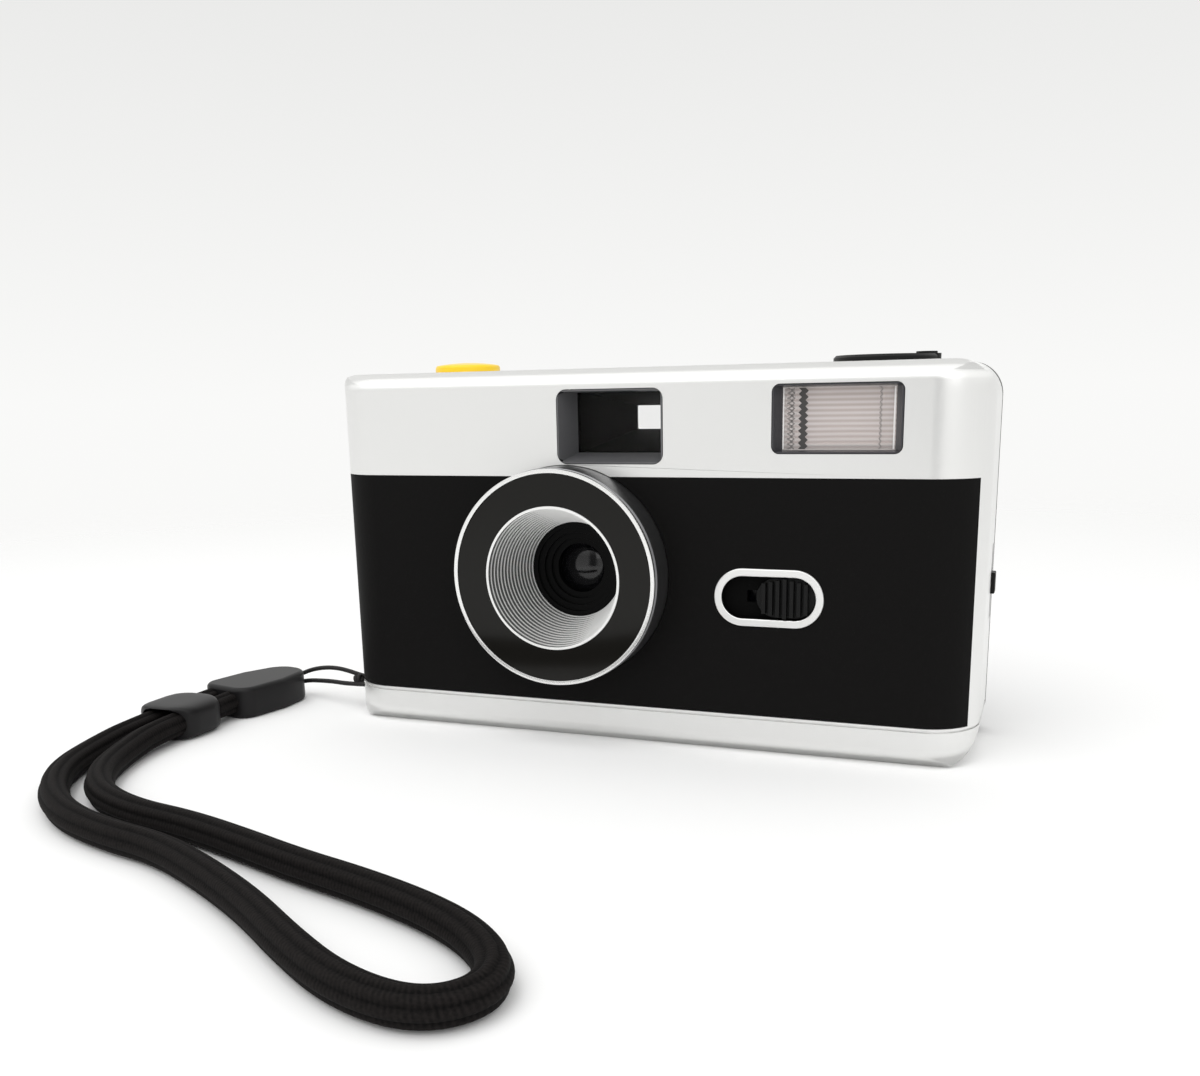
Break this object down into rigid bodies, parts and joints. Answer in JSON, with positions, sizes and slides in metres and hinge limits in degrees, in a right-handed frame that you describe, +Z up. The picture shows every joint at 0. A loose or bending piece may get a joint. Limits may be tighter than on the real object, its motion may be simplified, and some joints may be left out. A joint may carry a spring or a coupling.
{
  "type": "35 mm compact film camera",
  "caption": "Reusable fixed-focus film camera: silver shell, black front, ribbed lens cone, flash, folding rewind crank, hinged back, battery door and looped wrist strap.",
  "frame": {"origin": "on the camera's base, at mid width and mid depth of the body", "axes": "+X to the right seen from the front, -Y the way the lens looks, +Z up"},
  "size_m": [0.1481, 0.1309, 0.0666],
  "materials": {
    "silver_cover": "satin silver",
    "black_panel": "matt black",
    "black_shell": "matt black",
    "black_plastic": "black inner plastic",
    "bright_ring": "bright ring",
    "satin_metal": "satin metal",
    "gloss_black": "gloss black",
    "optic": "clear",
    "clear_window": "clear plastic",
    "reflector": "bright reflector",
    "board": "green board",
    "can": "dark sleeve",
    "steel": "steel",
    "spring_steel": "spring steel",
    "lamp": "orange lamp",
    "seal": "black foam",
    "white_disc": "white disc",
    "strap_cord": "black woven cord",
    "strap_black": "black plastic",
    "button_yellow": "yellow"
  },
  "bodies": {
    "camera": {"front_cover": "silver_cover", "front_panel": "black_panel", "rear_frame": "black_shell", "chassis": "black_plastic", "counter_window": "clear_window", "lens_barrel": "satin_metal", "lens_trim_ring": "bright_ring", "lens_face_plate": "gloss_black", "lens_cone": "satin_metal", "lens_holder": "black_plastic", "front_lens": "optic", "rear_lens": "optic", "aperture_plate": "black_plastic", "shutter_housing": "black_plastic", "shutter_cover": "black_plastic", "flash_bezel": "gloss_black", "flash_window": "clear_window", "flash_reflector": "reflector", "flash_tube": "optic", "flash_board": "board", "flash_capacitor": "can", "battery_contacts": "steel", "ready_lamp": "lamp", "viewfinder_bezel": "gloss_black", "viewfinder_lens": "optic", "viewfinder_tunnel": "black_plastic", "eyepiece_lens": "clear_window", "switch_bezel": "satin_metal", "strap_lug": "steel", "case_screws": "steel", "lens_screws": "steel", "door_hinge_pin": "steel", "light_seal": "seal", "button_spring": "spring_steel", "strap_loop": "strap_cord", "strap_thread": "strap_cord", "strap_end_cap": "strap_black"},
    "shutter_button": {"shutter_button": "button_yellow"},
    "release_lever": {"release_lever": "black_plastic"},
    "shutter_blade": {"shutter_blade": "steel"},
    "hammer_lever": {"hammer_lever": "black_plastic"},
    "sprocket": {"sprocket": "black_plastic"},
    "counter_disc": {"counter_disc": "white_disc"},
    "take_up": {"take_up_spool": "black_plastic", "thumbwheel": "black_shell"},
    "wind_pawl": {"wind_pawl": "black_plastic"},
    "rewind_collar": {"rewind_collar": "black_plastic"},
    "rewind": {"rewind_shaft": "black_plastic", "rewind_knob": "black_shell"},
    "rewind_crank": {"rewind_crank": "black_shell"},
    "rear_door": {"rear_door": "black_shell", "door_window": "clear_window", "pressure_spring": "spring_steel"},
    "pressure_plate": {"pressure_plate": "steel"},
    "door_latch": {"door_latch": "strap_black"},
    "battery_door": {"battery_door": "black_shell"},
    "rewind_release": {"rewind_release": "strap_black"},
    "flash_switch": {"flash_switch": "black_shell"},
    "strap_slider": {"strap_slider": "strap_black"}
  },
  "joints": [
    {"name": "button_press", "type": "slide", "parent": "camera", "child": "shutter_button", "axis": [0, 0, -1], "range_m": [0, 0.0014], "stiffness_N_per_m": 600, "springref_m": -0.0008, "deforming": ["button_spring"]},
    {"name": "lever_swing", "type": "hinge", "parent": "camera", "child": "release_lever", "pos_m": [-0.0255, -0.001, 0.0589], "axis": [0, -1, 0], "range_deg": [0, 16.5]},
    {"name": "blade_swing", "type": "hinge", "parent": "camera", "child": "shutter_blade", "pos_m": [-0.02, -0.00465, 0.037], "axis": [0, 1, 0], "range_deg": [0, 35], "stiffness_Nm_per_rad": 0.0004, "springref_deg": -34.38},
    {"name": "hammer_swing", "type": "hinge", "parent": "camera", "child": "hammer_lever", "pos_m": [-0.0265, -0.00345, 0.041], "axis": [0, 1, 0], "range_deg": [0, 20], "stiffness_Nm_per_rad": 0.0008, "springref_deg": -34.38},
    {"name": "sprocket_turn", "type": "hinge", "parent": "camera", "child": "sprocket", "pos_m": [-0.023, 0.00445, 0.05], "axis": [0, 0, 1], "continuous": true},
    {"name": "counter_turn", "type": "hinge", "parent": "camera", "child": "counter_disc", "pos_m": [-0.0212, -0.0056, 0.061], "axis": [0, 0, 1], "continuous": true},
    {"name": "wind_turn", "type": "hinge", "parent": "camera", "child": "take_up", "pos_m": [-0.0425, 0.0025, 0.03], "axis": [0, 0, 1], "continuous": true},
    {"name": "pawl_swing", "type": "hinge", "parent": "camera", "child": "wind_pawl", "pos_m": [-0.0265, 0.0055, 0.054], "axis": [0, 0, 1], "range_deg": [0, 8], "stiffness_Nm_per_rad": 0.0006, "springref_deg": -22.92},
    {"name": "rewind_lift", "type": "slide", "parent": "camera", "child": "rewind_collar", "axis": [0, 0, 1], "range_m": [0, 0.006]},
    {"name": "rewind_turn", "type": "hinge", "parent": "rewind_collar", "child": "rewind", "pos_m": [0.0405, 0, 0.06], "axis": [0, 0, 1], "continuous": true},
    {"name": "crank_fold", "type": "hinge", "parent": "rewind", "child": "rewind_crank", "pos_m": [0.0389, 0, 0.06535], "axis": [0, -1, 0], "range_deg": [0, 150]},
    {"name": "door_swing", "type": "hinge", "parent": "camera", "child": "rear_door", "pos_m": [-0.0552, 0.0139, 0.03], "axis": [0, 0, 1], "range_deg": [0, 100]},
    {"name": "plate_press", "type": "slide", "parent": "rear_door", "child": "pressure_plate", "axis": [0, 1, 0], "range_m": [0, 0.001], "stiffness_N_per_m": 300, "springref_m": -0.001, "deforming": ["pressure_spring"]},
    {"name": "latch_slide", "type": "slide", "parent": "camera", "child": "door_latch", "axis": [0, 0, -1], "range_m": [0, 0.0042], "stiffness_N_per_m": 120, "springref_m": -0.0015},
    {"name": "battery_door_swing", "type": "hinge", "parent": "camera", "child": "battery_door", "pos_m": [-0.0075, -0.0008, 0.00095], "axis": [1, 0, 0], "range_deg": [0, 90]},
    {"name": "rewind_release_press", "type": "slide", "parent": "camera", "child": "rewind_release", "axis": [0, 0, 1], "range_m": [0, 0.0015], "stiffness_N_per_m": 250, "springref_m": -0.0012},
    {"name": "flash_switch_slide", "type": "slide", "parent": "camera", "child": "flash_switch", "axis": [-1, 0, 0], "range_m": [0, 0.0053]},
    {"name": "strap_slider_slide", "type": "slide", "parent": "camera", "child": "strap_slider", "axis": [0, 1, 0], "range_m": [0, 0.0035]}
  ],
  "couplings": [
    {"joint": "lever_swing", "follows": "button_press", "rad_per_m": 205},
    {"joint": "counter_turn", "follows": "sprocket_turn", "ratio": -0.025}
  ]
}
